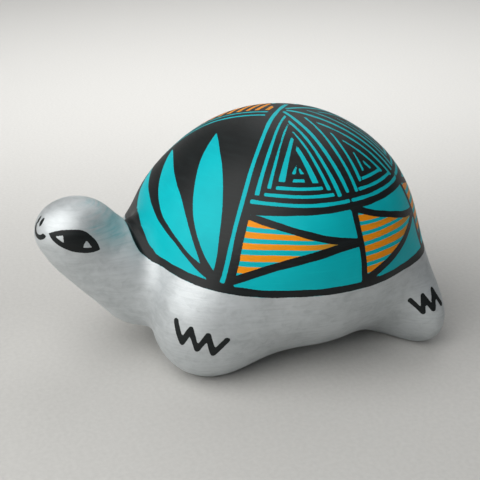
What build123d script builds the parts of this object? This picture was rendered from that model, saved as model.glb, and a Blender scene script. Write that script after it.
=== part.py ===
from build123d import *
from math import asin, degrees
import os

# A hollow clay turtle, hand built from pieces that are luted together.
# Frame: the head points along -Y, the turtle's left side is +X, +Z is up.
# The origin is on the ground, under the middle of the figure's length.

# Driving dimensions, in mm.
wall = 5.0
body_centre_y = 15.5
half_width = 52.0
half_length = 50.0
dome_height = 46.0
rim_height = 33.0
belly_curve_depth = 39.0
belly_clearance = 2.5
seam_coil_height = 4.0

# The neck is a round cone from its root in the body up to the throat.
neck_root = (0.0, body_centre_y - 50.0, 26.0)
neck_root_radius = 18.0
throat = (0.0, body_centre_y - 71.0, 39.0)
throat_radius = 12.0
head_centre = (0.0, body_centre_y - 72.5, 46.0)
head_radii = (12.5, 14.0, 12.5)
neck_coil_centre = (0.0, body_centre_y - 46.0, 24.0)
neck_coil_radii = (23.0, 16.0, 20.0)

# Each leg is an egg-shaped cup, set half inside the body's outline, with a flat sole at Z = 0.
front_leg_centre = (25.0, body_centre_y - 37.0, 17.5)
front_leg_radii = (17.0, 17.5, 19.0)
front_coil_centre = (21.0, body_centre_y - 31.0, 16.0)
front_coil_radii = (21.5, 21.5, 17.0)
rear_leg_centre = (33.0, body_centre_y + 33.5, 12.0)
rear_leg_radii = (15.0, 14.0, 13.5)
rear_coil_centre = (28.0, body_centre_y + 28.0, 13.0)
rear_coil_radii = (19.0, 18.5, 15.0)
leg_wall = 4.5

tail_root = (0.0, body_centre_y + 44.0, 11.0)
tail_root_radius = 8.0
tail_tip = (0.0, body_centre_y + 52.0, 6.5)
tail_tip_radius = 3.5
tail_coil_radii = (12.5, 8.0, 10.5)

# Holes poked through the bowl so that air can leave the hollow parts in the kiln.
base_vent_radius = 3.0
limb_vent_radius = 2.5
vent_reach = 40.0


def ellipsoid(centre, radii):
    """A closed ellipsoid with its axes along X, Y and Z."""
    with BuildPart() as egg:
        Sphere(1.0)
        scale(by=radii)
    return egg.part.moved(Location(centre))


def shrunk(radii, amount):
    """The radii of an ellipsoid that lies inside another, by amount on every side."""
    return tuple(radius - amount for radius in radii)


def mirrored(centre):
    """The same place on the turtle's other side."""
    return (-centre[0], centre[1], centre[2])


def round_cone(start, start_radius, end, end_radius):
    """A cone between two balls, its side tangent to both."""
    axis = Vector(*end) - Vector(*start)
    lean = degrees(asin((start_radius - end_radius) / axis.length))
    with BuildPart() as limb:
        with BuildSketch(Plane.XZ):
            with BuildLine():
                near_arc = CenterArc((0, 0), start_radius, -90, 90 + lean)
                far_arc = CenterArc((0, axis.length), end_radius, lean, 90 - lean)
                Line(near_arc @ 1, far_arc @ 0)
                Line(far_arc @ 1, near_arc @ 0)
            make_face()
        revolve(axis=Axis.Z)
    return limb.part.moved(Plane(start, z_dir=axis).location)


def body_form(inset):
    """The closed form of the body: an egg dome on a deeper, flat-bottomed bowl, drawn in by inset."""
    plan = (half_width - inset, half_length - inset)
    rim = (0, body_centre_y, rim_height)
    with BuildPart() as form:
        add(ellipsoid(rim, (*plan, dome_height - inset)))
        split(bisect_by=Plane.XY.offset(rim_height), keep=Keep.TOP)
    with BuildPart() as bowl:
        add(ellipsoid(rim, (*plan, belly_curve_depth - inset)))
        split(bisect_by=Plane.XY.offset(rim_height), keep=Keep.BOTTOM)
        split(bisect_by=Plane.XY.offset(belly_clearance + inset), keep=Keep.TOP)
        add(form.part)
    return bowl.part


def head_form(inset):
    """The closed form of the head and neck, drawn in by inset."""
    with BuildPart() as form:
        add(round_cone(neck_root, neck_root_radius - inset, throat, throat_radius - inset))
        add(ellipsoid(head_centre, shrunk(head_radii, inset)))
    return form.part


def finish(part, name):
    """Name a finished piece and write it out."""
    part.label = name
    export_step(part, f"parts/{name}.step")


def make_leg(name, centre, radii):
    """A hollow leg, cut to the outer faces of the body and neck, and flat on the ground."""
    with BuildPart() as leg:
        add(ellipsoid(centre, radii))
        split(bisect_by=Plane.XY, keep=Keep.TOP)
        add(ellipsoid(centre, shrunk(radii, leg_wall)), mode=Mode.SUBTRACT)
        add(body_outer, mode=Mode.SUBTRACT)
        add(head_outer, mode=Mode.SUBTRACT)
    finish(leg.part, name)


def make_coil(name, centre, radii, neighbours):
    """The clay worked into the joint round a limb, up to the faces of the body and its neighbours."""
    with BuildPart() as coil:
        add(ellipsoid(centre, radii))
        split(bisect_by=Plane.XY.offset(belly_clearance), keep=Keep.TOP)
        add(body_outer, mode=Mode.SUBTRACT)
        for neighbour in neighbours:
            add(neighbour, mode=Mode.SUBTRACT)
    finish(coil.part, name)


def vent(start, end, radius):
    """A straight poked hole from start towards end."""
    with BuildPart(Plane(start, z_dir=Vector(*end) - Vector(*start))) as hole:
        Cylinder(radius, vent_reach, align=(Align.CENTER, Align.CENTER, Align.MIN))
    return hole.part


os.makedirs("parts", exist_ok=True)

body_outer = body_form(0)
body_inner = body_form(wall)
head_outer = head_form(0)
neck_coil_form = ellipsoid(neck_coil_centre, neck_coil_radii)
seam_low = Plane.XY.offset(rim_height - seam_coil_height / 2)
seam_high = Plane.XY.offset(rim_height + seam_coil_height / 2)
body_heart = (0, body_centre_y, rim_height)

# The domed shell, above the seam.
with BuildPart() as shell_dome:
    add(body_outer)
    add(body_inner, mode=Mode.SUBTRACT)
    split(bisect_by=seam_high, keep=Keep.TOP)
finish(shell_dome.part, "shell_dome")

# The coil of clay in the seam, flush with the dome and the bowl.
with BuildPart() as seam_coil:
    add(body_outer)
    add(body_inner, mode=Mode.SUBTRACT)
    split(bisect_by=seam_high, keep=Keep.BOTTOM)
    split(bisect_by=seam_low, keep=Keep.TOP)
finish(seam_coil.part, "seam_coil")

# The four legs and the coil round each: name, leg place and size, coil place and size.
left_legs = (
    ("front_left", front_leg_centre, front_leg_radii, front_coil_centre, front_coil_radii),
    ("rear_left", rear_leg_centre, rear_leg_radii, rear_coil_centre, rear_coil_radii),
)
right_legs = tuple(
    (name.replace("left", "right"), mirrored(place), size, mirrored(coil_place), coil_size)
    for name, place, size, coil_place, coil_size in left_legs
)
limb_vents = [vent(neck_root, body_heart, limb_vent_radius)]
for name, place, size, coil_place, coil_size in left_legs + right_legs:
    make_leg(f"{name}_leg", place, size)
    make_coil(
        f"{name}_coil", coil_place, coil_size, (ellipsoid(place, size), head_outer, neck_coil_form)
    )
    limb_vents.append(vent(place, body_heart, limb_vent_radius))

# The bowl, below the seam, with its vents.
with BuildPart() as belly_bowl:
    add(body_outer)
    add(body_inner, mode=Mode.SUBTRACT)
    split(bisect_by=seam_low, keep=Keep.BOTTOM)
    for hole in limb_vents:
        add(hole, mode=Mode.SUBTRACT)
    with Locations((0, body_centre_y, belly_clearance)):
        Cylinder(base_vent_radius, 2 * wall, mode=Mode.SUBTRACT)
finish(belly_bowl.part, "belly_bowl")

# The head and neck, one hollow piece, and the coil in its joint.
with BuildPart() as head_and_neck:
    add(head_outer)
    add(head_form(wall), mode=Mode.SUBTRACT)
    add(body_outer, mode=Mode.SUBTRACT)
finish(head_and_neck.part, "head_and_neck")
front_legs = (
    ellipsoid(front_leg_centre, front_leg_radii),
    ellipsoid(mirrored(front_leg_centre), front_leg_radii),
)
make_coil("neck_coil", neck_coil_centre, neck_coil_radii, (head_outer, *front_legs))

# The short solid tail and its coil.
tail_form = round_cone(tail_root, tail_root_radius, tail_tip, tail_tip_radius)
with BuildPart() as tail:
    add(tail_form)
    add(body_outer, mode=Mode.SUBTRACT)
finish(tail.part, "tail")
make_coil("tail_coil", tail_root, tail_coil_radii, (tail_form,))
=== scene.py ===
import math

import bpy
import mathutils
import numpy as np
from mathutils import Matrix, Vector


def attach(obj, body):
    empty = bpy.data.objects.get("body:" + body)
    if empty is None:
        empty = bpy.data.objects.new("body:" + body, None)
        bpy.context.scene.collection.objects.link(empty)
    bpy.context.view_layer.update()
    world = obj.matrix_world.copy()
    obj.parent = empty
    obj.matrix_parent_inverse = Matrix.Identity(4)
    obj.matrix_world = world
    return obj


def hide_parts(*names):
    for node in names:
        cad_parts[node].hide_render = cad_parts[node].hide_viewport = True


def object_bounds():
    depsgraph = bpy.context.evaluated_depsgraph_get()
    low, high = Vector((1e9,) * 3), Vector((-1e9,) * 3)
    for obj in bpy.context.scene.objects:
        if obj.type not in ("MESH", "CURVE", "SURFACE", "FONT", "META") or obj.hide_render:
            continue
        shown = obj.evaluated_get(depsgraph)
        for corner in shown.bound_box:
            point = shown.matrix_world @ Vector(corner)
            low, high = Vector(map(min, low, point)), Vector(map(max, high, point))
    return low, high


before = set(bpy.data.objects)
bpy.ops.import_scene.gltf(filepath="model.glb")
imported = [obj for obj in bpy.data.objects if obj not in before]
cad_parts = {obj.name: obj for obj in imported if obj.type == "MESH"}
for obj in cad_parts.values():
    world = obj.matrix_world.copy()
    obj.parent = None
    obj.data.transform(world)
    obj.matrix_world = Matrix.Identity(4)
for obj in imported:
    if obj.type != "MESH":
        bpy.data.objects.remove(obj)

cad_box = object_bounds()

# Lengths below are in millimetres, in the CAD frame: the head points along -Y, left is +X, Z is up.
# Meshes, lights and the camera are made in metres with MM.
MM = 0.001

# --- Driving dimensions of the figure ---

BODY_Y = 15.5
RIM_Z = 32.9
HALF_WIDTH = 52.2
HALF_LENGTH = 50.0
DOME_HEIGHT = 45.7
# The dome swells forwards below SWELL_TOP of its height, and its top is set a little back.
SWELL, SWELL_TOP, SET_BACK = 2.4, 0.7, 1.2
BOWL_DEPTH = 38.0
BELLY_Z = 2.5
BELLY_ROUNDING = 6.0
SOLE_ROUNDING = 1.5

NECK_ROOT, NECK_ROOT_RADIUS = (0, BODY_Y - 51.3, 26.5), 17.8
THROAT, THROAT_RADIUS = (0, BODY_Y - 71.0, 40.1), 11.6
HEAD_CENTRE, HEAD_RADII = (0, BODY_Y - 73.35, 46.5), (12.5, 13.5, 11.0)
FRONT_LEG, FRONT_LEG_RADII = (24.7, BODY_Y - 37.05, 17.9), (18.35, 18.55, 19.4)
REAR_LEG, REAR_LEG_RADII, REAR_LEG_TURN = (32.6, BODY_Y + 35.4, 11.6), (17.2, 7.8, 13.1), 13.4
TAIL_ROOT, TAIL_ROOT_RADIUS = (0, BODY_Y + 44.0, 11.0), 8.0
TAIL_TIP, TAIL_TIP_RADIUS = (0, BODY_Y + 52.0, 6.5), 3.5

# How far the clay is smoothed across each joint.
HEAD_BLEND = 4.7
NECK_BLEND = 6.5
FRONT_LEG_BLEND = 16.9
REAR_LEG_BLEND = 19.5
TAIL_BLEND = 9.0

# The groove over the neck: how far it lies from the body, its width and its depth. It starts at the
# height GROOVE_LOW, is full GROOVE_RISE higher, and fades within GROOVE_SPREAD of the neck's face.
GROOVE_REACH, GROOVE_WIDTH, GROOVE_DEPTH = 5.6, 1.1, 1.2
GROOVE_LOW, GROOVE_RISE, GROOVE_SPREAD = 38.0, 6.0, 4.0

# How uneven the hand-smoothed surface is, and over about what length.
UNEVEN_DEPTH, UNEVEN_LENGTH = 0.22, 24.0

# The joints between pieces, as differences of distance, and the seam's two edges.
NECK_JOINT = 3.0
LEG_JOINT = 5.0
TAIL_JOINT = 3.0
SEAM_LOW = 31.0
SEAM_HIGH = 35.0
WALL = 4.5
TAIL_WALL = 2.5
VENT_RADIUS = 3.0

# The grid that the skin mesh starts from. Each of its faces becomes four.
GRID_STEP = 1.2


# --- Distance formulas ---

def egg(points, centre, radii, turn=0.0):
    """Distance to an ellipsoid whose axes are turned about Z by turn degrees."""
    x, y, z = np.moveaxis(points - np.array(centre), -1, 0)
    cos, sin = math.cos(math.radians(turn)), math.sin(math.radians(turn))
    rel = np.stack([x * cos + y * sin, y * cos - x * sin, z], -1)
    radii = np.array(radii)
    scaled = np.linalg.norm(rel / radii, axis=-1)
    slope = np.linalg.norm(rel / radii**2, axis=-1)
    return scaled * (scaled - 1) / np.maximum(slope, 1e-9)


def round_cone(points, start, start_radius, end, end_radius):
    """Distance to a cone between two balls, its side tangent to both."""
    start, end = np.array(start, float), np.array(end, float)
    length = np.linalg.norm(end - start)
    axis = (end - start) / length
    rel = points - start
    along = rel @ axis
    off = np.sqrt(np.maximum((rel**2).sum(-1) - along**2, 0))
    lean = (start_radius - end_radius) / length
    upright = math.sqrt(1 - lean**2)
    # Where each point falls along the cone's side, from the first ball's edge to the last one's.
    side = along * upright - off * lean
    at_side = off * upright + along * lean - start_radius
    at_start = np.hypot(off, along) - start_radius
    at_end = np.hypot(off, along - length) - end_radius
    return np.where(side < 0, at_start, np.where(side > length * upright, at_end, at_side))


def blend(a, b, reach):
    """The lesser of two distances, rounded where they differ by less than reach."""
    mix = np.clip(0.5 + 0.5 * (b - a) / reach, 0, 1)
    return b * (1 - mix) + a * mix - reach * mix * (1 - mix)


def round_off(a, b, reach):
    """The greater of two distances, rounded the same way."""
    return -blend(-a, -b, reach)


def mirrored(points):
    """The same points on the turtle's left side."""
    return np.concatenate([np.abs(points[..., :1]), points[..., 1:]], -1)


def direction(turn, climb):
    """The unit vector at a bearing, from the head (0) to the left (90), and a climb, in degrees."""
    turn, climb = math.radians(turn), math.radians(climb)
    return np.array([math.sin(turn) * math.cos(climb), -math.cos(turn) * math.cos(climb), math.sin(climb)])


def dome_shift(points):
    """How far back the dome is set at each point. The swell is fullest over the neck."""
    share = np.clip((points[..., 2] - RIM_Z) / DOME_HEIGHT, 0, 1.2)
    ahead = np.clip((BODY_Y - points[..., 1]) / HALF_LENGTH, -1, 1)
    swell = np.sin(math.pi * np.minimum(share / SWELL_TOP, 1)) ** 2
    return SET_BACK * share**2 - SWELL * swell * (0.5 + 0.5 * ahead)


def body_distance(points):
    rim = (0, BODY_Y, RIM_Z)
    shifted = points.copy()
    shifted[..., 1] -= dome_shift(points)
    dome = egg(shifted, rim, (HALF_WIDTH, HALF_LENGTH, DOME_HEIGHT))
    bowl = egg(points, rim, (HALF_WIDTH, HALF_LENGTH, BOWL_DEPTH))
    shell = np.where(points[..., 2] > RIM_Z, dome, bowl)
    return round_off(shell, BELLY_Z - points[..., 2], BELLY_ROUNDING)


def head_distance(points):
    neck = round_cone(points, NECK_ROOT, NECK_ROOT_RADIUS, THROAT, THROAT_RADIUS)
    return blend(neck, egg(points, HEAD_CENTRE, HEAD_RADII), HEAD_BLEND)


def front_leg_distance(points):
    return egg(mirrored(points), FRONT_LEG, FRONT_LEG_RADII)


def rear_leg_distance(points):
    return egg(mirrored(points), REAR_LEG, REAR_LEG_RADII, REAR_LEG_TURN)


def tail_distance(points):
    return round_cone(points, TAIL_ROOT, TAIL_ROOT_RADIUS, TAIL_TIP, TAIL_TIP_RADIUS)


def waver(points, length, phase):
    """A smooth unevenness between -1 and 1 with about this wave length, the same on every run."""
    turn = 2 * math.pi / length
    x, y, z = points[..., 0] * turn, points[..., 1] * turn, points[..., 2] * turn
    first = np.sin(0.83 * x + 0.41 * y + 0.37 * z + phase)
    second = np.sin(-0.35 * x + 0.79 * y - 0.51 * z + 2.1 * phase)
    third = np.sin(0.27 * x - 0.46 * y + 0.88 * z + 3.3 * phase)
    return (first + second + third) / 3


def neck_groove(body, head, height):
    """The narrow groove over the top of the neck, where the silver stops."""
    along = np.exp(-((body - GROOVE_REACH) / GROOVE_WIDTH) ** 2)
    over = np.clip((height - GROOVE_LOW) / GROOVE_RISE, 0, 1)
    return GROOVE_DEPTH * along * over * np.exp(-(head / GROOVE_SPREAD) ** 2)


def figure(points):
    """Distance to the whole figure's outside, with the slight unevenness of a hand-smoothed surface."""
    body, head = body_distance(points), head_distance(points)
    form = blend(body, front_leg_distance(points), FRONT_LEG_BLEND)
    form = blend(form, rear_leg_distance(points), REAR_LEG_BLEND)
    form = blend(form, tail_distance(points), TAIL_BLEND)
    form = blend(form, head, NECK_BLEND)
    form = form + neck_groove(body, head, points[..., 2])
    form = form + UNEVEN_DEPTH * waver(points, UNEVEN_LENGTH, phase=0.7)
    return round_off(form, -points[..., 2], SOLE_ROUNDING)


def slope_of(field, points, reach=0.05):
    """The field's gradient at each point."""
    steps = np.eye(3) * reach
    return np.stack([field(points + s) - field(points - s) for s in steps], -1) / (2 * reach)


def settle(points, level=0.0, rounds=4):
    """Move points along the gradient to where the figure's distance is level."""
    for _ in range(rounds):
        slope = slope_of(figure, points)
        excess = figure(points) - level
        points = points - slope * (excess / np.maximum((slope**2).sum(-1), 0.05))[:, None]
    return points


def outward(points):
    slope = slope_of(figure, points)
    return slope / np.linalg.norm(slope, axis=-1, keepdims=True)


# --- Skin mesh ---

def surface_net(low, high, step):
    """Points and quads wrapped round the figure: a point in each grid cell that its surface crosses."""
    axes = [np.arange(a - 2 * step, b + 3 * step, step) for a, b in zip(low, high)]
    corners = np.stack(np.meshgrid(*axes, indexing="ij"), -1)
    inside = figure(corners) < 0
    cells = tuple(n - 1 for n in inside.shape)
    shifts = [(i, j, k) for i in (0, 1) for j in (0, 1) for k in (0, 1)]
    filled = sum(
        inside[i:i + cells[0], j:j + cells[1], k:k + cells[2]].astype(int) for i, j, k in shifts
    )
    crossed = (filled > 0) & (filled < 8)
    number = np.full(cells, -1)
    number[crossed] = np.arange(crossed.sum())
    points = corners[:-1, :-1, :-1][crossed] + step / 2
    quads = []
    for axis in range(3):
        one, two = [np.eye(3, dtype=int)[(axis + turn) % 3] for turn in (1, 2)]
        here = np.moveaxis(inside, axis, 0)
        change = np.moveaxis(here[1:] != here[:-1], 0, axis)
        places = np.argwhere(change)
        round_edge = [number[tuple((places - shift).T)] for shift in (0 * one, one, one + two, two)]
        ring = np.stack(round_edge, -1)
        leaving = inside[tuple(places.T)]
        quads.append(np.where(leaving[:, None], ring, ring[:, ::-1]))
    return points, np.concatenate(quads)


def evened(points, quads, rounds=3):
    """Draw each point towards the middle of its neighbours, along the surface."""
    ends = np.concatenate([quads[:, [i, (i + 1) % 4]] for i in range(4)])
    for _ in range(rounds):
        total = np.zeros_like(points)
        np.add.at(total, ends[:, 0], points[ends[:, 1]])
        np.add.at(total, ends[:, 1], points[ends[:, 0]])
        count = np.bincount(ends.ravel(), minlength=len(points))
        points = settle(0.5 * points + 0.5 * total / count[:, None], rounds=2)
    return points


def subdivided(points, quads):
    """Each quad as four."""
    ends = np.stack([quads, np.roll(quads, -1, axis=1)], -1)
    edges, place = np.unique(np.sort(ends.reshape(-1, 2), axis=1), axis=0, return_inverse=True)
    middle = len(points) + place.reshape(-1, 4)
    heart = len(points) + len(edges) + np.arange(len(quads))
    before = np.roll(middle, 1, axis=1)
    small = [np.stack([quads[:, i], middle[:, i], heart, before[:, i]], -1) for i in range(4)]
    points = np.concatenate([points, points[edges].mean(1), points[quads].mean(1)])
    return points, np.concatenate(small)


def clipped(face, value, point_on):
    """A face's corners below and above the field's zero line, as two lists."""
    below, above = [], []
    for a, b in zip(face, np.roll(face, -1)):
        if value[a] <= 0:
            below.append(a)
        if value[a] >= 0:
            above.append(a)
        if value[a] * value[b] < 0:
            crossing = point_on(a, b)
            below.append(crossing)
            above.append(crossing)
    return below, above


def cut(points, quads, triangles, field):
    """Split the faces that the field's zero line crosses, so that no face lies on both sides of it."""
    value = field(points)
    points = points.copy()
    edges = np.concatenate(
        [quads[:, [i, (i + 1) % 4]] for i in range(4)] + [triangles[:, [i, (i + 1) % 3]] for i in range(3)]
    )
    edges = edges[value[edges[:, 0]] * value[edges[:, 1]] < 0]
    share = value[edges[:, 0]] / (value[edges[:, 0]] - value[edges[:, 1]])
    # A corner very near the line moves onto it, which leaves no sliver.
    near = share < 0.15
    corner, other = edges[near, 0], edges[near, 1]
    points[corner] += (points[other] - points[corner]) * share[near, None]
    value[corner] = 0
    added, number = [], {}

    def point_on(a, b):
        key = (min(a, b), max(a, b))
        if key not in number:
            part = value[a] / (value[a] - value[b])
            number[key] = len(points) + len(added)
            added.append(points[a] + (points[b] - points[a]) * part)
        return number[key]

    kept = {3: [], 4: []}
    for faces in (quads, triangles):
        low, high = value[faces].min(1), value[faces].max(1)
        straddles = (low < 0) & (high > 0)
        kept[faces.shape[1]].append(faces[~straddles])
        for face in faces[straddles]:
            for corners in clipped(face, value, point_on):
                if len(corners) == 5:
                    kept[3].append(np.array([[corners[0], corners[1], corners[2]]]))
                    corners = [corners[0], corners[2], corners[3], corners[4]]
                if len(corners) > 2:
                    kept[len(corners)].append(np.array([corners]))
    if added:
        points = np.concatenate([points, np.array(added)])
    return points, np.concatenate(kept[4]), np.concatenate(kept[3])


# --- Which piece owns each part of the skin ---

def neck_side(points):
    """Below 0 nearer to the head and neck, above 0 nearer to the body."""
    trunk = np.minimum(body_distance(points), front_leg_distance(points))
    return head_distance(points) - trunk


def front_leg_side(points):
    return front_leg_distance(points) - body_distance(points)


def rear_leg_side(points):
    return rear_leg_distance(points) - body_distance(points)


def tail_side(points):
    return tail_distance(points) - body_distance(points)


def vent_side(points):
    """Below 0 inside the vent in the belly."""
    across = np.hypot(points[..., 0], points[..., 1] - BODY_Y) - VENT_RADIUS
    return np.where(points[..., 2] < RIM_Z / 2, across, VENT_RADIUS)


def owners(points):
    """The name of the CAD node that each point of the skin belongs to."""
    height = points[:, 2]
    left = points[:, 0] > 0
    neck, tail = neck_side(points), tail_side(points)
    front, rear = front_leg_side(points), rear_leg_side(points)
    low = height < SEAM_LOW
    choices = [
        (vent_side(points) < 0, "vent"),
        (neck < -NECK_JOINT, "head_and_neck"),
        (neck < NECK_JOINT, "neck_coil"),
        (height > SEAM_HIGH, "shell_dome"),
        (~low, "seam_coil"),
        (tail < -TAIL_JOINT, "tail"),
        (tail < TAIL_JOINT, "tail_coil"),
        ((front < -LEG_JOINT) & left, "front_left_leg"),
        (front < -LEG_JOINT, "front_right_leg"),
        ((rear < -LEG_JOINT) & left, "rear_left_leg"),
        (rear < -LEG_JOINT, "rear_right_leg"),
        ((front < LEG_JOINT) & left, "front_left_coil"),
        (front < LEG_JOINT, "front_right_coil"),
        ((rear < LEG_JOINT) & left, "rear_left_coil"),
        (rear < LEG_JOINT, "rear_right_coil"),
    ]
    return np.select([c for c, _ in choices], [n for _, n in choices], "belly_bowl")


def make_skin():
    """The whole outside as one mesh, split along every joint between pieces."""
    low, high = [np.array(corner) / MM for corner in cad_box]
    points, quads = surface_net(low, high, GRID_STEP)
    points = evened(settle(points), quads)
    points, quads = subdivided(points, quads)
    points = settle(points, rounds=2)
    triangles = np.zeros((0, 3), int)
    joints = [(neck_side, NECK_JOINT), (front_leg_side, LEG_JOINT), (rear_leg_side, LEG_JOINT)]
    joints.append((tail_side, TAIL_JOINT))
    lines = []
    for side, reach in joints:
        for gap in (-reach, reach):
            lines.append(lambda p, side=side, gap=gap: side(p) - gap)
    lines.append(lambda p: p[..., 2] - SEAM_LOW)
    lines.append(lambda p: p[..., 2] - SEAM_HIGH)
    # Below the seam the left and right sides part in the middle.
    lines.append(lambda p: np.where(p[..., 2] < SEAM_LOW, p[..., 0], 1.0))
    lines.append(vent_side)
    for line in lines:
        points, quads, triangles = cut(points, quads, triangles, line)
    return settle(points, rounds=2), quads, triangles


# --- Painted design ---

# Places on the shell are in degrees: meridians turn from the head (0) to the left (90) and on
# round the tail, and latitudes climb from the rim (0) to the top (90). Distances between them are
# worked out as on a ball of SHELL_RADIUS.
SHELL_RADIUS = 49.5
# The fan of leaves lies between these two meridians, and the sectors lie beyond the seam.
SEAM = 46.0
FAR_EDGE = -45.0
SECTORS = (
    (SEAM, 96.5), (96.5, 137.5), (137.5, 182.0), (182.0, 216.0), (216.0, 250.0), (250.0, 315.0)
)
WIDE_SECTOR = SECTORS[0]
HATCHED_SECTOR = SECTORS[-1]

# The painter's hand strays by this much, over about this length.
HAND_DEPTH, HAND_LENGTH = 0.3, 15.0
# The edge of all the black strays by this much more, over about this length.
EDGE_DEPTH, EDGE_LENGTH = 0.1, 6.0

# The black band along the silver, round the rim and out along the neck. Other strokes run TUCK
# into it.
RIM_BAND = 2.4
NECK_BAND = 4.4
BAND_CURVE = 4.0
TUCK = 0.3
# On top of the neck and right of it the band is wider, by BAND_LEAN a degree from the meridian
# BAND_LEAN_START on, for BAND_LEAN_RANGE degrees.
BAND_LEAN, BAND_LEAN_START, BAND_LEAN_RANGE = 0.16, 4.6, 14.0

# The silver starts at this height round the body, and higher over the front legs: the line rises
# from the meridian RISE_START on either side, over RISE_RANGE towards the head.
PAINT_LINE = 33.0
PAINT_LINE_RISE, RISE_START, RISE_RANGE = 4.1, 64.0, 40.0
# It also starts this far out along the neck. The two edges meet in a wide curve.
NECK_REACH = 9.0
NECK_CURVE = 9.0
# Past the meridian NECK_TURN the neck's edge moves out, by NECK_SPREAD a degree, so that only the
# height counts there.
NECK_TURN, NECK_SPREAD = 14.0, 0.4

# The seam bows away from the head by SEAM_BOW, and below the latitude SEAM_TURN it comes back
# towards the head, by SEAM_LEAN at the rim. It is a teal line with a black one beside it, and it
# runs on over the top for SEAM_PAST_TOP.
SEAM_BOW, SEAM_LEAN, SEAM_TURN = 1.3, 3.6, 45
SEAM_TEAL, SEAM_BLACK, SEAM_PAST_TOP = 1.4, 3.5, 9.0
# Two thin lines run up the far edge, this far from it, and stop short of the seam.
FAR_LINES, FAR_LINE_WIDTH, FAR_LINES_SHORT = (3.1, 6.2), 1.0, 2.9

# Each leaf's root and tip, and its bulge on either side. The leaves keep off the fan's edges.
LEAVES = (
    ((41, 9), (-2, 62), 4.2, 6.2),
    ((36, 11), (-28, 42), 4.3, 4.2),
    ((43, 4.2), (-31, 29), 11.0, 0.4),
)
LEAF_MARGIN = 2.6

# Each sector ends in a black line from the rim up. Over the ring a teal one lies on it, which starts
# DIVIDER_RISE above the ring and stops this far from the axis: NEAR_TOP_GAP for the first NEAR_LINES
# of them, and TOP_GAP for the others.
DIVIDER_BLACK, DIVIDER_TEAL, DIVIDER_RISE = 2.1, 1.2, 2.3
NEAR_LINES, NEAR_TOP_GAP, TOP_GAP = 3, 2.5, 12.0

# The teal ring starts RING_RISE high at the seam and sags to RING_DROP low over RING_SAG_REACH.
# It keeps RING_SEAM_GAP from the seam and RING_GAP from the other lines.
RING = 36.0
RING_RISE, RING_DROP, RING_SAG_REACH = 1.5, 0.5, 30.0
RING_WIDTH, RING_SEAM_GAP, RING_GAP = 1.25, 3.4, 0.35

# The two kinds of panel: the latitude where its strokes meet, how far the top one rises and how
# much it sags, how far the bottom one falls and how much it sags, both towards the panel's start,
# then the first stripe's latitude, the gap between stripes and their number.
PANEL_STYLES = (
    (19.0, 14.5, 1.15, 13.3, 1.8, 11.0, 3.97, 5),
    (19.5, 13.0, 1.3, 16.0, 0.9, 7.5, 3.58, 6),
)
PANEL_TOP = 32.0
TOP_STROKE, BOTTOM_STROKE, STRIPE_WIDTH = 2.5, 2.9, 2.2
WIDE_STRIPE_START, STRIPE_START = 2.2, 0.6
# The upper stripes lean down towards the panel's end by ROW_LEAN, in full ROW_LEAN_RANGE above
# the place where the strokes meet.
ROW_LEAN, ROW_LEAN_RANGE = 0.11, 8.0


class Shell:
    """Points on the shell, and their distances in mm from meridians and latitudes."""

    def __init__(self, points):
        scaled = (points - np.array([0, BODY_Y, RIM_Z])) / np.array([HALF_WIDTH, HALF_LENGTH, DOME_HEIGHT])
        self.unit = scaled / np.linalg.norm(scaled, axis=-1, keepdims=True)
        self.meridian = np.degrees(np.arctan2(self.unit[:, 0], -self.unit[:, 1]))
        self.latitude = np.degrees(np.arcsin(self.unit[:, 2]))

    def past(self, meridian):
        """How far past a meridian, going round to the left."""
        turn = math.radians(meridian)
        return SHELL_RADIUS * np.arcsin(self.unit @ np.array([math.cos(turn), math.sin(turn), 0]))

    def along(self, meridian):
        """How far out from the axis towards a meridian."""
        turn = math.radians(meridian)
        return SHELL_RADIUS * np.arcsin(self.unit @ np.array([math.sin(turn), -math.cos(turn), 0]))

    def above(self, latitude):
        return SHELL_RADIUS * np.radians(self.latitude - latitude)


def union(*shapes):
    return np.minimum.reduce(shapes)


def common(*shapes):
    return np.maximum.reduce(shapes)


def above_ring(shell):
    """How far above the ring line, which starts high at the seam and sags."""
    share = np.clip(shell.past(SEAM) / RING_SAG_REACH, 0, 1)
    sag = RING_RISE * (1 - share) ** 2 - RING_DROP * share
    return shell.above(RING) - np.where(np.abs(shell.meridian - SEAM) < 90, sag, 0)


def band(distance, width):
    """A stroke of this width along the line where distance is 0."""
    return np.abs(distance) - width / 2


def stripes(distance, period, width, count):
    """Count strokes, side by side from 0 upwards."""
    nearest = np.clip(np.round(distance / period), 0, count - 1)
    return band(distance - nearest * period, width)


def arc_side(along, off, length, bulge):
    """Distance past an arc through (0, 0) and (length, 0) that bulges to +off, or to -off below 0."""
    radius = (length**2 / 4 + bulge**2) / (2 * bulge)
    from_heart = np.hypot(along - length / 2, off - (bulge - radius))
    return math.copysign(1, bulge) * (from_heart - abs(radius))


def lens(along, off, length, left, right):
    """A pointed leaf from (0, 0) to (length, 0), with a bulge on either side."""
    return common(arc_side(along, off, length, left), arc_side(along, -off, length, right))


def leaf(shell, root, tip, left, right):
    """A lens laid on the shell between two places."""
    start, end = direction(*root), direction(*tip)
    side = np.cross(start, end)
    side /= np.linalg.norm(side)
    ahead = np.cross(side, start)
    length = SHELL_RADIUS * math.acos(start @ end)
    along = SHELL_RADIUS * np.arctan2(shell.unit @ ahead, shell.unit @ start)
    off = SHELL_RADIUS * np.arcsin(shell.unit @ side)
    return lens(along, off, length, left, right)


def leaves(shell):
    """The fan of leaves on the front of the shell."""
    return union(*[leaf(shell, *one) for one in LEAVES])


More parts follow.
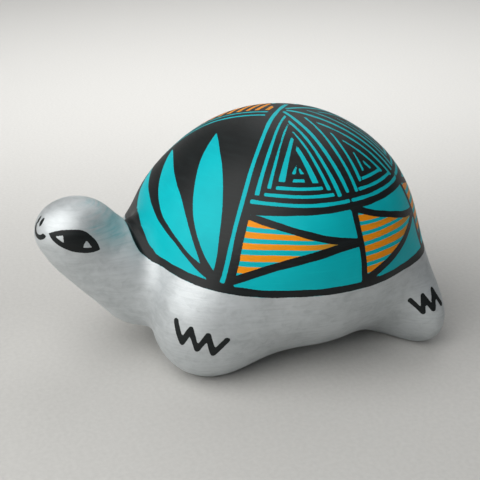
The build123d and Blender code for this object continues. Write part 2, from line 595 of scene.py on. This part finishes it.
def panel(shell, sector, style):
    """One panel under the ring: its black strokes, its orange stripes, and how far along the panel
    each point is, from 0 to 1, and 0 outside it."""
    stripe_start = WIDE_STRIPE_START if sector == WIDE_SECTOR else STRIPE_START
    start, end = shell.past(sector[0]), -shell.past(sector[1])
    inside = common(-start, -end, shell.above(PANEL_TOP))
    left = 1 - np.clip(start / np.maximum(start + end, 1e-6), 0, 1)
    tip, top_rise, top_power, bottom_fall, bottom_power, first_row, row_gap, rows = style
    top = shell.above(tip + top_rise * left**top_power)
    bottom = shell.above(tip - bottom_fall * left**bottom_power)
    strokes = common(inside, union(band(top, TOP_STROKE), band(bottom, BOTTOM_STROKE)))
    lean = ROW_LEAN * start * np.clip(shell.above(tip) / ROW_LEAN_RANGE, 0, 1)
    lines = stripes(shell.above(first_row) + lean, row_gap, STRIPE_WIDTH, rows)
    fade = np.where(inside < 0, 1 - left, 0)
    return strokes, common(inside, stripe_start - start, lines, top, -bottom), fade


def tapered(distance, level, width, length, least=0.3):
    """A stroke that is width wide at level 0 and narrows over length, to this least share of it."""
    return np.abs(distance) - width / 2 * np.clip(1 - level / length, least, 1)


# The strokes of a nested triangle, one row for each ring: place from the left, right and base,
# stroke width, how soon it narrows, and how far its base stroke stays from its sides.
WIDE_NEST = (
    (4.9, 3.2, 3.0, 1.3, 90, 2.0),
    (8.0, 5.8, 5.7, 1.2, 42, 2.0),
    (11.4, 9.1, 8.6, 1.9, 34, 3.4),
)
NARROW_NEST = (
    (3.4, 3.4, 3.0, 1.25, 80, 1.1),
    (6.5, 7.0, 6.1, 1.2, 40, 1.1),
    (9.6, 10.3, 9.0, 0.9, 30, 9.0),
)
# The strokes of the wide triangle draw together towards the top, and the others draw apart.
WIDE_SPREAD, NARROW_SPREAD = -0.005, 0.006
# A ring's left stroke runs on past its right one and its base. The right one stops short of the
# left one and runs on past the base. The base stroke is a little longer at its right end.
LEFT_PAST_RIGHT, LEFT_PAST_BASE = 1.1, 0.6
RIGHT_SHORT_OF_LEFT, RIGHT_PAST_BASE = 2.1, 1.0
BASE_STROKE, BASE_LONGER = 1.15, 0.4
# Two short marks stand inside the wide triangle: the place of each from its own side, its height,
# and for both their base, their width and how soon they narrow.
LEFT_MARK, RIGHT_MARK = (14.0, 3.3), (11.5, 2.9)
MARK_BASE, MARK_WIDTH, MARK_TAPER = 11.0, 1.4, 1.2
# A nested triangle keeps this far from its sector's sides.
NEST_MARGIN = 1.0

# The hatched sector's stripes: where they start, their lean, the gap between them, their width and
# number, and how far they keep from the sector's start and from the ring. They run on past its end.
HATCH_START, HATCH_LEAN, HATCH_GAP, HATCH_WIDTH, HATCH_COUNT = 3.7, 0.1, 3.6, 1.65, 12
HATCH_FROM_START, HATCH_FROM_RING, HATCH_PAST_END = 1.4, 3.0, 1.2


def nest(shell, sector):
    """The teal strokes of one nested triangle above the ring."""
    left, right, base = shell.past(sector[0]), -shell.past(sector[1]), above_ring(shell)
    wide = sector == WIDE_SECTOR
    rings, spread = (WIDE_NEST, WIDE_SPREAD) if wide else (NARROW_NEST, NARROW_SPREAD)
    spread = 1 + spread * base
    strokes = []
    for from_left, from_right, from_base, width, length, gap in rings:
        rise, fall, level = left - from_left * spread, right - from_right * spread, base - from_base
        left_stroke, right_stroke = (tapered(side, level, width, length) for side in (rise, fall))
        strokes.append(common(left_stroke, -LEFT_PAST_RIGHT - fall, -level - LEFT_PAST_BASE))
        strokes.append(common(right_stroke, RIGHT_SHORT_OF_LEFT - rise, -level - RIGHT_PAST_BASE))
        strokes.append(common(band(level, BASE_STROKE), gap - rise, gap - BASE_LONGER - fall))
    if wide:
        level = base - MARK_BASE
        for side, (place, top) in ((left, LEFT_MARK), (right, RIGHT_MARK)):
            mark = tapered(side - place, level, MARK_WIDTH, top * MARK_TAPER)
            strokes.append(common(mark, -level, level - top))
    return union(*strokes)


def hatch(shell, sector):
    """Slanting stripes across the whole of a sector above the ring."""
    start, end, base = shell.past(sector[0]), -shell.past(sector[1]), shell.above(RING)
    out = shell.along(sector[1]) + HATCH_LEAN * end - HATCH_START
    rows = stripes(out, HATCH_GAP, HATCH_WIDTH, HATCH_COUNT)
    return common(rows, -HATCH_PAST_END - end, HATCH_FROM_START - start, HATCH_FROM_RING - base)


def painted_side(points, shell, rim_band=0.0, neck_band=0.0, curve=NECK_CURVE):
    """Above 0 on the painted shell: over the paint line, and not far out along the neck.
    The bands leave out a strip along that edge."""
    turn = np.abs(shell.meridian)
    leg_share = np.clip((RISE_START - turn) / RISE_RANGE, 0, 1)
    line = PAINT_LINE + PAINT_LINE_RISE * leg_share**2 * (3 - 2 * leg_share)
    reach = egg(points, (0, BODY_Y, RIM_Z), (HALF_WIDTH, HALF_LENGTH, DOME_HEIGHT))
    reach = reach - NECK_SPREAD * np.maximum(turn - NECK_TURN, 0)
    return blend(points[:, 2] - line - rim_band, NECK_REACH - neck_band - reach, curve)


def shell_paint(points):
    """Distances in mm from the painted area, the black and the orange, each below 0 inside it, and
    how far along its panel the orange is, from 0 to 1."""
    shell = Shell(points + HAND_DEPTH * waver(points, HAND_LENGTH, phase=1.9)[:, None])
    painted = painted_side(points, shell)
    neck_band = NECK_BAND + BAND_LEAN * np.clip(BAND_LEAN_START - shell.meridian, 0, BAND_LEAN_RANGE)
    band_side = painted_side(points, shell, RIM_BAND, neck_band, BAND_CURVE)
    over_band = TUCK - band_side
    low = np.clip(1 - shell.latitude / SEAM_TURN, 0, 1)
    seam = shell.past(SEAM) - SEAM_BOW * np.cos(np.radians(shell.latitude)) + SEAM_LEAN * low**2
    seam_reach = -SEAM_PAST_TOP - shell.along(SEAM)
    seam_strip = common(-seam, seam - SEAM_BLACK, seam_reach)
    seam_line = common(band(seam, SEAM_TEAL), seam_reach, over_band)
    fan_ground = common(-shell.past(FAR_EDGE), seam)
    fan = common(leaves(shell), fan_ground + LEAF_MARGIN, -band_side)
    far_pair = union(*[band(shell.past(FAR_EDGE) - place, FAR_LINE_WIDTH) for place in FAR_LINES])
    far_lines = common(far_pair, FAR_LINES_SHORT + seam, -shell.along(FAR_EDGE), over_band)
    black = [band_side, -shell.above(PANEL_TOP), fan_ground, seam_strip]
    # The black leaves these bare.
    bare = [seam_line, far_lines, fan]
    orange, fades = [], []
    for number, sector in enumerate(SECTORS):
        start, end = shell.past(sector[0]), -shell.past(sector[1])
        black.append(common(band(end, DIVIDER_BLACK), -shell.along(sector[1])))
        strokes, rows, fade = panel(shell, sector, PANEL_STYLES[number % 2])
        fades.append(fade)
        black.append(strokes)
        orange.append(rows)
        ring_start = RING_SEAM_GAP if sector == WIDE_SECTOR else RING_GAP
        bare.append(common(band(above_ring(shell), RING_WIDTH), ring_start - start, RING_GAP - end))
        if sector == HATCHED_SECTOR:
            hatching = hatch(shell, sector)
            orange.append(hatching)
            bare.append(hatching)
        else:
            bare.append(common(nest(shell, sector), NEST_MARGIN - start, NEST_MARGIN - end))
            top_gap = NEAR_TOP_GAP if number < NEAR_LINES else TOP_GAP
            line = common(band(end, DIVIDER_TEAL), DIVIDER_RISE - shell.above(RING))
            bare.append(common(line, top_gap - shell.along(sector[1])))
    black = common(union(*black), -union(*bare))
    return -painted, common(black, -painted), union(*orange), sum(fades)


# The face is painted turned a little to the turtle's left. Its places are given as distance
# round the head from the middle of the face, and height.
FACE_TURN = 7.0
EYE_INNER, EYE_OUTER = (6.0, 50.0), (23.6, 43.7)
EYE_TOP_BULGE, EYE_LOW_BULGE = 4.1, 2.7
EYE_FRONT_CORNER = [(8.4, 49.4), (10.8, 49.7), (11.5, 47.2)]
EYE_BACK_CORNER = [(18.2, 47.6), (20.2, 45.0), (17.1, 45.5)]
NOSTRIL, NOSTRIL_RADII = (1.15, 52.1), (0.75, 1.3)
# The smile is part of a ring: its middle, radius and width. It ends at SMILE_TOP, on a slant.
SMILE, SMILE_RADIUS, SMILE_WIDTH = (1.9, 51.2), 3.5, 1.6
SMILE_TOP, SMILE_SLANT = 50.0, 0.3
FACE_MARGIN = 2.0


def segment(across, up, start, end):
    """Distance to a straight stroke's middle."""
    way = (end[0] - start[0], end[1] - start[1])
    share = ((across - start[0]) * way[0] + (up - start[1]) * way[1]) / (way[0] ** 2 + way[1] ** 2)
    share = np.clip(share, 0, 1)
    return np.hypot(across - start[0] - share * way[0], up - start[1] - share * way[1])


def wedge(across, up, corners):
    """A triangle with its corners in clockwise order."""
    sides = []
    for (x0, y0), (x1, y1) in zip(corners, corners[1:] + corners[:1]):
        length = math.hypot(x1 - x0, y1 - y0)
        sides.append(((x1 - x0) * (up - y0) - (y1 - y0) * (across - x0)) / length)
    return common(*sides)


def eye(across, up):
    """A long dark eye, pointed at both ends, with a silver corner on either side."""
    run, rise = EYE_OUTER[0] - EYE_INNER[0], EYE_OUTER[1] - EYE_INNER[1]
    length = math.hypot(run, rise)
    x, y = across - EYE_INNER[0], up - EYE_INNER[1]
    along = x * (run / length) + y * (rise / length)
    off = y * (run / length) - x * (rise / length)
    almond = lens(along, off, length, EYE_TOP_BULGE, EYE_LOW_BULGE)
    return common(almond, -wedge(across, up, EYE_FRONT_CORNER), -wedge(across, up, EYE_BACK_CORNER))


def face(points):
    """The eyes, nostrils and mouth, laid round the head."""
    x, y = points[:, 0], points[:, 1] - HEAD_CENTRE[1]
    side = (np.arctan2(x, -y) - math.radians(FACE_TURN)) * np.hypot(x, y)
    across, up = np.abs(side), points[:, 2]
    nostril_out = (across - NOSTRIL[0]) / NOSTRIL_RADII[0]
    nostril_up = (up - NOSTRIL[1]) / NOSTRIL_RADII[1]
    nostril = 0.8 * (np.hypot(nostril_out, nostril_up) - 1)
    smile = band(np.hypot(side - SMILE[0], up - SMILE[1]) - SMILE_RADIUS, SMILE_WIDTH)
    mouth = common(smile, up - SMILE_TOP + SMILE_SLANT * (side - SMILE[0]))
    return common(union(eye(across, up), nostril, mouth), neck_side(points) + FACE_MARGIN)


# Each foot's zigzag: the foot's centre and its radius, the row of peaks and the row of valleys, and
# the stroke's width. A row is its first place, the step to the next and the number of places, in
# distance round the foot from its front, and height.
ZIGZAGS = (
    (FRONT_LEG, 18.4, ((10.5, 25.0), (5.65, -1.65), 4), ((13.0, 18.2), (5.1, -1.5), 3), 1.9),
    (REAR_LEG, 15.0, ((15.9, 20.9), (4.7, 1.0), 3), ((20.8, 16.0), (3.4, 1.0), 3), 1.65),
)
# A zigzag keeps this far from the foot's middle, where the bearings round it crowd together.
ZIGZAG_CLEAR = 6.0


def row(start, step, count):
    """Places in a straight row."""
    return [(start[0] + step[0] * i, start[1] + step[1] * i) for i in range(count)]


def zigzag(across, up, peaks, valleys, width):
    """One stroke that runs from peak to valley to peak."""
    path = [place for pair in zip(peaks, valleys) for place in pair] + list(peaks[len(valleys):])
    return union(*[segment(across, up, a, b) for a, b in zip(path, path[1:])]) - width / 2


def claws(points):
    """The zigzag on the outer side of each foot."""
    place = mirrored(points)
    marks = []
    for centre, radius, peaks, valleys, width in ZIGZAGS:
        x, y = place[:, 0] - centre[0], place[:, 1] - centre[1]
        across = radius * np.arctan2(x, -y)
        stroke = zigzag(across, place[:, 2], row(*peaks), row(*valleys), width)
        marks.append(common(stroke, ZIGZAG_CLEAR - np.hypot(x, y)))
    return union(*marks)


# Where teal paint has rubbed off on the neck: the middle and size of each stain.
STAINS = (((3.0, -50.0, 55.0), 5.0), ((9.0, -46.0, 47.5), 4.0), ((10.5, -54.0, 51.0), 2.5))


def smudges(points):
    """How strong the stains are at each point."""
    return sum(np.exp(-((points - np.array(place)) ** 2).sum(-1) / size**2) for place, size in STAINS)


def paint_layers(points):
    """What each skin point is painted with, as named numbers for the materials."""
    shell, black, orange, fade = shell_paint(points)
    black = union(black, face(points), claws(points))
    black = black + EDGE_DEPTH * waver(points, EDGE_LENGTH, phase=4.4)
    return {"shell": shell, "black": black, "orange": orange, "fade": fade, "smudge": smudges(points)}


# --- Materials ---

def colour(red, green, blue):
    """An sRGB colour, from 0 to 255 a channel, as the shader's linear one."""
    parts = [channel / 255 for channel in (red, green, blue)]
    return tuple(p / 12.92 if p <= 0.04045 else ((p + 0.055) / 1.055) ** 2.4 for p in parts) + (1.0,)


class Shader:
    """A material's node tree, with one method for each kind of node used here."""

    def __init__(self, name):
        self.material = bpy.data.materials.new(name)
        self.material.use_nodes = True
        self.tree = self.material.node_tree
        self.tree.nodes.clear()
        self.place = self.add("ShaderNodeTexCoord").outputs["Object"]

    def add(self, kind, inputs=None, **settings):
        """A node with these settings and inputs. An input is a value, or a socket to link."""
        node = self.tree.nodes.new(kind)
        for name, value in settings.items():
            setattr(node, name, value)
        for name, value in (inputs or {}).items():
            if isinstance(value, bpy.types.NodeSocket):
                self.tree.links.new(value, node.inputs[name])
            else:
                node.inputs[name].default_value = value
        return node

    def maths(self, operation, *values):
        return self.add("ShaderNodeMath", dict(enumerate(values)), operation=operation).outputs[0]

    def attribute(self, name):
        return self.add("ShaderNodeAttribute", attribute_name=name).outputs["Fac"]

    def noise(self, size, stretch=(1, 1, 1), detail=3.0, roughness=0.55, distortion=0.0):
        """Noise from 0 to 1 with features of about this size in mm, drawn out along each axis."""
        scale = tuple(1 / (size * MM * s) for s in stretch)
        place = self.add("ShaderNodeMapping", {"Vector": self.place, "Scale": scale}).outputs[0]
        inputs = {"Vector": place, "Scale": 1.0, "Detail": detail, "Roughness": roughness}
        inputs["Distortion"] = distortion
        return self.add("ShaderNodeTexNoise", inputs).outputs["Fac"]

    def ramp(self, value, low, high, start=0.0, end=1.0):
        """Start up to low, end from high, and smooth between."""
        inputs = {"Value": value, "From Min": low, "From Max": high, "To Min": start, "To Max": end}
        return self.add("ShaderNodeMapRange", inputs, interpolation_type="SMOOTHSTEP").outputs[0]

    def mix(self, share, first, second):
        """One colour over another."""
        inputs = {0: share, 6: first, 7: second}
        return self.add("ShaderNodeMix", inputs, data_type="RGBA").outputs[2]

    def mix_value(self, share, first, second):
        return self.add("ShaderNodeMix", {0: share, 2: first, 3: second}, data_type="FLOAT").outputs[0]

    def finish(self, **inputs):
        """The surface: a Principled shader with these inputs."""
        named = {name.replace("_", " "): value for name, value in inputs.items()}
        surface = self.add("ShaderNodeBsdfPrincipled", named)
        self.add("ShaderNodeOutputMaterial", {"Surface": surface.outputs[0]})
        return self.material


TEAL_DEEP, TEAL, TEAL_THIN = colour(0, 176, 186), colour(0, 184, 193), colour(14, 196, 203)
BLACK_DEEP, BLACK_WORN = colour(11, 16, 17), colour(21, 28, 29)
ORANGE, ORANGE_THIN, OLIVE = colour(240, 146, 18), colour(178, 138, 42), colour(132, 134, 58)
SILVER_DULL = colour(150, 157, 160)
SILVER_DARK, SILVER, SILVER_PALE = colour(188, 193, 195), colour(204, 209, 211), colour(220, 224, 226)
CLAY, CLAY_PALE = colour(150, 92, 66), colour(186, 130, 98)


def painted_clay():
    """Brushed silver all over, with the shell's teal, orange and black laid over it."""
    shader = Shader("painted_clay")
    # The paint's edges are ragged by up to this much either way, and this soft, in mm.
    ragged, soft_edge = 0.11, 0.06
    jitter = shader.maths("MULTIPLY_ADD", shader.noise(0.7, detail=2.0), 2 * ragged, -ragged)

    def inside(layer):
        edge = shader.maths("ADD", shader.attribute(layer), jitter)
        return shader.ramp(edge, -soft_edge, soft_edge, 1.0, 0.0)

    shell, black, orange = inside("shell"), inside("black"), inside("orange")
    strokes = shader.noise(0.7, stretch=(14, 14, 1), detail=3.0)
    fine = shader.noise(0.3, stretch=(16, 16, 1), detail=2.0)
    cloud = shader.noise(14.0, detail=3.0)
    grain = shader.noise(0.25, detail=2.0)
    mottle = shader.noise(2.6, stretch=(1.6, 1.6, 1), detail=4.0, roughness=0.65, distortion=0.6)

    silver = shader.mix(shader.ramp(cloud, 0.3, 0.7), SILVER_DARK, SILVER)
    silver = shader.mix(shader.ramp(mottle, 0.35, 0.7, 0.0, 0.38), silver, SILVER_PALE)
    silver = shader.mix(shader.ramp(mottle, 0.5, 0.25, 0.0, 0.2), silver, SILVER_DULL)
    silver = shader.mix(shader.ramp(strokes, 0.45, 0.75, 0.0, 0.16), silver, SILVER_DULL)
    rubbed = shader.ramp(strokes, 0.35, 0.75, 0.0, 0.4)
    silver = shader.mix(shader.maths("MULTIPLY", shader.attribute("smudge"), rubbed), silver, TEAL)
    teal = shader.mix(shader.ramp(cloud, 0.3, 0.7), TEAL, TEAL_DEEP)
    teal = shader.mix(shader.ramp(strokes, 0.5, 0.85, 0.0, 0.4), teal, TEAL_THIN)
    amber = shader.mix(shader.ramp(strokes, 0.5, 0.8, 0.0, 0.7), ORANGE, ORANGE_THIN)
    amber = shader.mix(shader.ramp(shader.attribute("fade"), 0.4, 1.0, 0.0, 0.9), amber, OLIVE)
    ink = shader.mix(shader.ramp(strokes, 0.4, 0.8), BLACK_DEEP, BLACK_WORN)

    ground = shader.mix(shell, silver, shader.mix(orange, teal, amber))
    base = shader.mix(black, ground, ink)
    covered = shader.maths("MAXIMUM", shell, black)
    silver_metal, silver_shine, shell_shine, black_shine = 0.62, 0.5, 0.15, 0.3
    metal = shader.mix_value(covered, silver_metal, 0.0)
    shine = shader.mix_value(black, shader.mix_value(shell, silver_shine, shell_shine), black_shine)
    silver_rough = shader.ramp(mottle, 0.3, 0.7, 0.51, 0.59)
    paint_rough = shader.ramp(strokes, 0.3, 0.75, 0.44, 0.5)
    rough = shader.mix_value(covered, silver_rough, paint_rough)

    # Each coat stands proud of the one under it, and the silver shows its brush strokes most.
    relief = shader.maths("MULTIPLY", shell, 0.5)
    relief = shader.maths("ADD", relief, shader.maths("MULTIPLY", black, 0.35))
    relief = shader.maths("ADD", relief, shader.maths("MULTIPLY", orange, 0.25))
    relief = shader.maths("MULTIPLY_ADD", strokes, shader.mix_value(covered, 0.5, 0.15), relief)
    relief = shader.maths("MULTIPLY_ADD", fine, 0.25, relief)
    relief = shader.maths("MULTIPLY_ADD", mottle, shader.mix_value(covered, 0.9, 0.25), relief)
    relief = shader.maths("MULTIPLY_ADD", grain, 0.12, relief)
    bump = shader.add("ShaderNodeBump", {"Strength": 1.0, "Distance": 0.09 * MM, "Height": relief})
    return shader.finish(
        Base_Color=base, Metallic=metal, Roughness=rough, Specular_IOR_Level=shine, Normal=bump.outputs[0]
    )


def bare_clay():
    """Fired clay on the inside and in the joints, with fine grog in it."""
    shader = Shader("bare_clay")
    cloud = shader.noise(9.0, detail=4.0)
    grog = shader.noise(0.5, detail=3.0)
    base = shader.mix(shader.ramp(cloud, 0.3, 0.7), CLAY, CLAY_PALE)
    base = shader.mix(shader.ramp(grog, 0.55, 0.75, 0.0, 0.4), base, CLAY_PALE)
    bump = shader.add("ShaderNodeBump", {"Strength": 0.8, "Distance": 0.15 * MM, "Height": grog})
    rough = shader.ramp(grog, 0.3, 0.7, 0.8, 0.95)
    return shader.finish(Base_Color=base, Roughness=rough, Normal=bump.outputs[0])


def floor_paper():
    """Pale matt backdrop paper."""
    shader = Shader("floor_paper")
    fibre = shader.noise(1.5, detail=3.0)
    base = shader.mix(shader.ramp(fibre, 0.2, 0.8), colour(190, 189, 186), colour(198, 197, 194))
    bump = shader.add("ShaderNodeBump", {"Strength": 0.3, "Distance": 0.05 * MM, "Height": fibre})
    rough = shader.ramp(fibre, 0.2, 0.8, 0.7, 0.85)
    return shader.finish(Base_Color=base, Roughness=rough, Normal=bump.outputs[0])


# --- Pieces ---

def boundary(faces):
    """The edges that only one face has, directed as that face goes round."""
    ways = np.concatenate([np.stack([f, np.roll(f, -1, axis=1)], -1).reshape(-1, 2) for f in faces])
    pairs = {(a, b) for a, b in ways.tolist()}
    return np.array([(a, b) for a, b in ways.tolist() if (b, a) not in pairs])


def sunk(points, depth):
    """The inner face of a wall: the skin moved in by depth, in steps that keep it from folding."""
    steps = 4
    for step in range(1, steps + 1):
        level = -depth * step / steps
        points = settle(points - outward(points) * depth / steps, level, rounds=2)
    return points


def flat_normals(points, faces):
    """The normal of each flat face."""
    one, two = points[faces[:, 2]] - points[faces[:, 0]], points[faces[:, -1]] - points[faces[:, 1]]
    normal = np.cross(one, two)
    return normal / np.maximum(np.linalg.norm(normal, axis=-1, keepdims=True), 1e-12)


def make_piece(node, wall, skin, owned, materials):
    """One closed clay wall: the skin that a node owns, its inner face and the joint between them."""
    points, normals, layers = skin
    outer = [faces for faces in owned if len(faces)]
    used = np.unique(np.concatenate([faces.ravel() for faces in outer]))
    place = np.full(len(points), -1)
    place[used] = np.arange(len(used))
    outer = [place[faces] for faces in outer]
    rim = boundary(outer)
    back = [faces[:, ::-1] + len(used) for faces in outer]
    joint = np.stack([rim[:, 1], rim[:, 0], rim[:, 0] + len(used), rim[:, 1] + len(used)], -1)
    corners = np.concatenate([points[used], sunk(points[used], wall)]) * MM
    groups = outer + back + [joint]
    faces = [face for group in groups for face in group.tolist()]
    mesh = bpy.data.meshes.new(f"{node}_skin")
    mesh.from_pydata(corners.tolist(), [], faces)
    both = np.concatenate([normals[used], -normals[used]])
    lie = [both[group].reshape(-1, 3) for group in outer + back]
    lie.append(np.repeat(flat_normals(corners, joint), 4, axis=0))
    mesh.polygons.foreach_set("use_smooth", np.ones(len(faces), bool))
    mesh.normals_split_custom_set(np.concatenate(lie).tolist())
    painted = sum(len(group) for group in outer)
    slots = np.ones(len(faces), int)
    slots[:painted] = 0
    for material in materials:
        mesh.materials.append(material)
    mesh.polygons.foreach_set("material_index", slots)
    for name, layer in layers.items():
        values = np.concatenate([layer[used], layer[used]]).astype(np.float32)
        mesh.attributes.new(name, "FLOAT", "POINT").data.foreach_set("value", values)
    mesh.update()
    piece = bpy.data.objects.new(f"{node}_skin", mesh)
    bpy.context.scene.collection.objects.link(piece)
    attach(piece, "root")
    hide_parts(node)


def make_pieces():
    points, quads, triangles = make_skin()
    normals = outward(points)
    layers = paint_layers(points)
    materials = (painted_clay(), bare_clay())
    owner = [owners(points[faces].mean(1)) for faces in (quads, triangles)]
    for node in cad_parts:
        wall = TAIL_WALL if node.startswith("tail") else WALL
        owned = [faces[own == node] for faces, own in zip((quads, triangles), owner)]
        make_piece(node, wall, (points, normals, layers), owned, materials)


# --- Floor, light and camera ---

CAMERA_BEARING = 66.0
CAMERA_HEIGHT = 24.0
CAMERA_DISTANCE = 348.3
CAMERA_AIM = (-21.5, BODY_Y - 5.0, 21.7)
CAMERA_LENS = 67.5

# The paper, in metres: half its width, where it starts to curve up, that curve's radius, and the
# height of its top edge.
PAPER_HALF, PAPER_BEND, PAPER_CURVE, PAPER_TOP = 2.4, 0.9, 0.6, 1.8
CURVE_STEPS = 12


def make_floor():
    """A sheet of paper that curves up behind the figure."""
    profile = [(-PAPER_HALF, 0.0), (PAPER_BEND, 0.0)]
    for i in range(1, CURVE_STEPS + 1):
        turn = math.radians(90 * i / CURVE_STEPS)
        reach, height = PAPER_CURVE * math.sin(turn), PAPER_CURVE - PAPER_CURVE * math.cos(turn)
        profile.append((PAPER_BEND + reach, height))
    profile.append((PAPER_BEND + PAPER_CURVE, PAPER_TOP))
    back_turn = math.radians(CAMERA_BEARING)
    away = (-math.sin(back_turn), math.cos(back_turn))
    aside = (math.cos(back_turn), math.sin(back_turn))
    corners = [
        (away[0] * reach + aside[0] * side, away[1] * reach + aside[1] * side, height)
        for reach, height in profile for side in (-PAPER_HALF, PAPER_HALF)
    ]
    faces = [(2 * i, 2 * i + 1, 2 * i + 3, 2 * i + 2) for i in range(len(profile) - 1)]
    mesh = bpy.data.meshes.new("backdrop")
    mesh.from_pydata(corners, [], faces)
    mesh.polygons.foreach_set("use_smooth", [True] * len(faces))
    mesh.materials.append(floor_paper())
    floor = bpy.data.objects.new("backdrop", mesh)
    bpy.context.scene.collection.objects.link(floor)


def aim(thing, place, target):
    """Put a light or camera at a place and point it at a target, both in mm."""
    place, target = mathutils.Vector(place) * MM, mathutils.Vector(target) * MM
    thing.location = place
    thing.rotation_euler = (target - place).to_track_quat("-Z", "Y").to_euler()
    bpy.context.scene.collection.objects.link(thing)


def make_light(name, turn, climb, distance, size, power, tint, target=(0, 0, 30)):
    """A round soft light, at this distance in mm from the origin, with its size in metres."""
    light = bpy.data.lights.new(name, "AREA")
    light.shape = "DISK"
    light.size = size
    light.energy = power
    light.color = tint
    aim(bpy.data.objects.new(name, light), direction(turn, climb) * distance, target)


def make_lights():
    make_light("key", CAMERA_BEARING - 52, 48, 500, 0.75, 3.5, (1.0, 0.99, 0.97))
    make_light("fill", CAMERA_BEARING + 60, 35, 1400, 1.2, 0.8, (0.94, 0.97, 1.0))
    make_light("back", CAMERA_BEARING + 165, 50, 1100, 0.9, 2.5, (1.0, 1.0, 1.0))
    # This one faces away from the figure, and keeps the paper behind it pale.
    behind = direction(CAMERA_BEARING + 180, 0) * 1500 + np.array([0, 0, 150])
    make_light("paper_light", CAMERA_BEARING + 180, 65, 750, 1.0, 8.0, (1.0, 1.0, 1.0), behind)


def make_world():
    """A little light from all round."""
    world = bpy.data.worlds.new("studio")
    world.use_nodes = True
    sky = world.node_tree.nodes["Background"]
    sky.inputs["Color"].default_value = (0.92, 0.95, 1.0, 1.0)
    sky.inputs["Strength"].default_value = 0.1
    bpy.context.scene.world = world


def make_camera():
    data = bpy.data.cameras.new("camera")
    data.lens = CAMERA_LENS
    data.sensor_width = 36.0
    camera = bpy.data.objects.new("camera", data)
    place = np.array(CAMERA_AIM) + direction(CAMERA_BEARING, CAMERA_HEIGHT) * CAMERA_DISTANCE
    aim(camera, place, CAMERA_AIM)
    bpy.context.scene.camera = camera


bpy.context.scene.view_settings.view_transform = "Standard"
make_camera()
make_lights()
make_world()
make_floor()
make_pieces()
